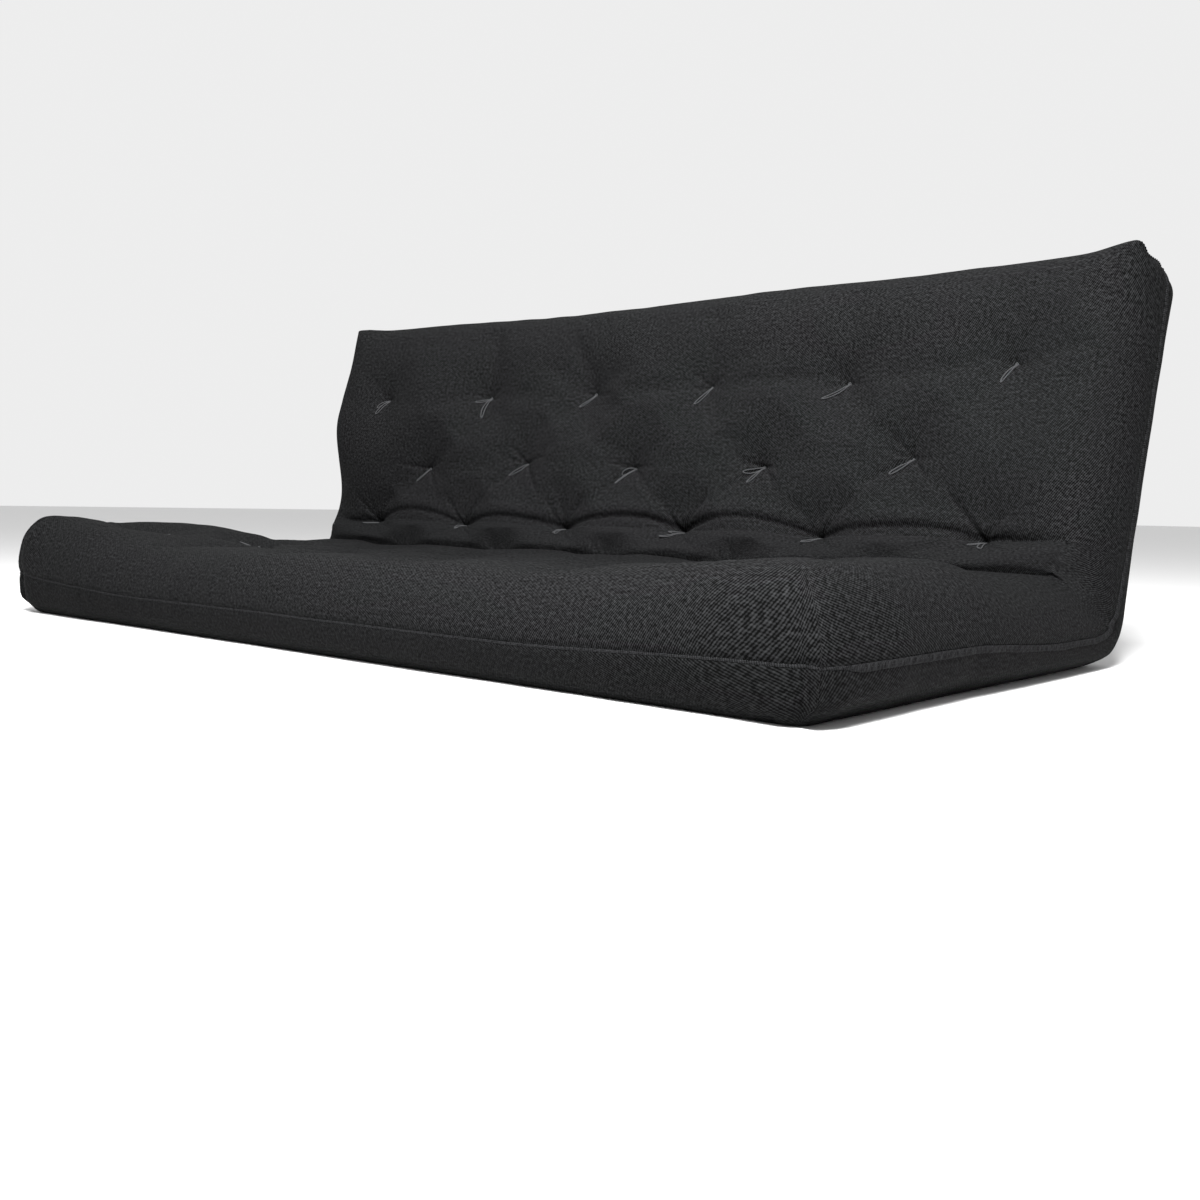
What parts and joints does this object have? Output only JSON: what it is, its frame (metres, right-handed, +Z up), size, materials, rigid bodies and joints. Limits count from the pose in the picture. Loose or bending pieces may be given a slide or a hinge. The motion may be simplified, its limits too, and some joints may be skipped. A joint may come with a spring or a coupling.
{
  "type": "futon mattress",
  "caption": "Tufted full-size futon mattress in charcoal cotton twill, folded for a sofa frame, with a seat and a leaning back that open flat on one fold line.",
  "frame": {"origin": "middle of the folded mattress in plan, on the deck that the seat lies on", "axes": "+X along the mattress's width, the seat's front edge faces -Y, +Z up, folded as on a sofa frame"},
  "size_m": [1.9, 1.0768, 0.6648],
  "materials": {
    "cover_twill": "matt diagonal cotton twill weave, charcoal",
    "tuft_twine": "soft twisted cotton twine, charcoal",
    "cotton_batting": "matt loose cotton felt, off-white",
    "foam_core": "matt open-cell foam, cream"
  },
  "bodies": {
    "seat": {"seat_top_panel": "cover_twill", "seat_bottom_panel": "cover_twill", "seat_front_border": "cover_twill", "seat_left_border": "cover_twill", "seat_right_border": "cover_twill", "seat_upper_batting": "cotton_batting", "seat_foam_core": "foam_core", "seat_lower_batting": "cotton_batting", "fold_bottom_panel": "cover_twill", "fold_left_border": "cover_twill", "fold_right_border": "cover_twill", "fold_filling": "cotton_batting", "fold_top_panel": "cover_twill", "tuft_tie_d1": "tuft_twine", "tuft_tie_d2": "tuft_twine", "tuft_tie_d3": "tuft_twine", "tuft_tie_d4": "tuft_twine", "tuft_tie_d5": "tuft_twine", "tuft_tie_e1": "tuft_twine", "tuft_tie_e2": "tuft_twine", "tuft_tie_e3": "tuft_twine", "tuft_tie_e4": "tuft_twine", "tuft_tie_e5": "tuft_twine", "tuft_tie_e6": "tuft_twine", "tuft_tie_f1": "tuft_twine", "tuft_tie_f2": "tuft_twine", "tuft_tie_f3": "tuft_twine", "tuft_tie_f4": "tuft_twine", "tuft_tie_f5": "tuft_twine", "tuft_tie_g1": "tuft_twine", "tuft_tie_g2": "tuft_twine", "tuft_tie_g3": "tuft_twine", "tuft_tie_g4": "tuft_twine", "tuft_tie_g5": "tuft_twine", "tuft_tie_g6": "tuft_twine"},
    "back": {"back_top_panel": "cover_twill", "back_bottom_panel": "cover_twill", "back_top_border": "cover_twill", "back_left_border": "cover_twill", "back_right_border": "cover_twill", "back_upper_batting": "cotton_batting", "back_foam_core": "foam_core", "back_lower_batting": "cotton_batting", "tuft_tie_a1": "tuft_twine", "tuft_tie_a2": "tuft_twine", "tuft_tie_a3": "tuft_twine", "tuft_tie_a4": "tuft_twine", "tuft_tie_a5": "tuft_twine", "tuft_tie_a6": "tuft_twine", "tuft_tie_b1": "tuft_twine", "tuft_tie_b2": "tuft_twine", "tuft_tie_b3": "tuft_twine", "tuft_tie_b4": "tuft_twine", "tuft_tie_b5": "tuft_twine", "tuft_tie_c1": "tuft_twine", "tuft_tie_c2": "tuft_twine", "tuft_tie_c3": "tuft_twine", "tuft_tie_c4": "tuft_twine", "tuft_tie_c5": "tuft_twine", "tuft_tie_c6": "tuft_twine"}
  },
  "joints": [
    {"name": "fold", "type": "hinge", "parent": "seat", "child": "back", "pos_m": [0, 0.28357, 0.085], "axis": [1, 0, 0], "range_deg": [-72.6, 17.4], "deforming": ["fold_bottom_panel", "fold_left_border", "fold_right_border", "fold_filling", "fold_top_panel"]}
  ]
}
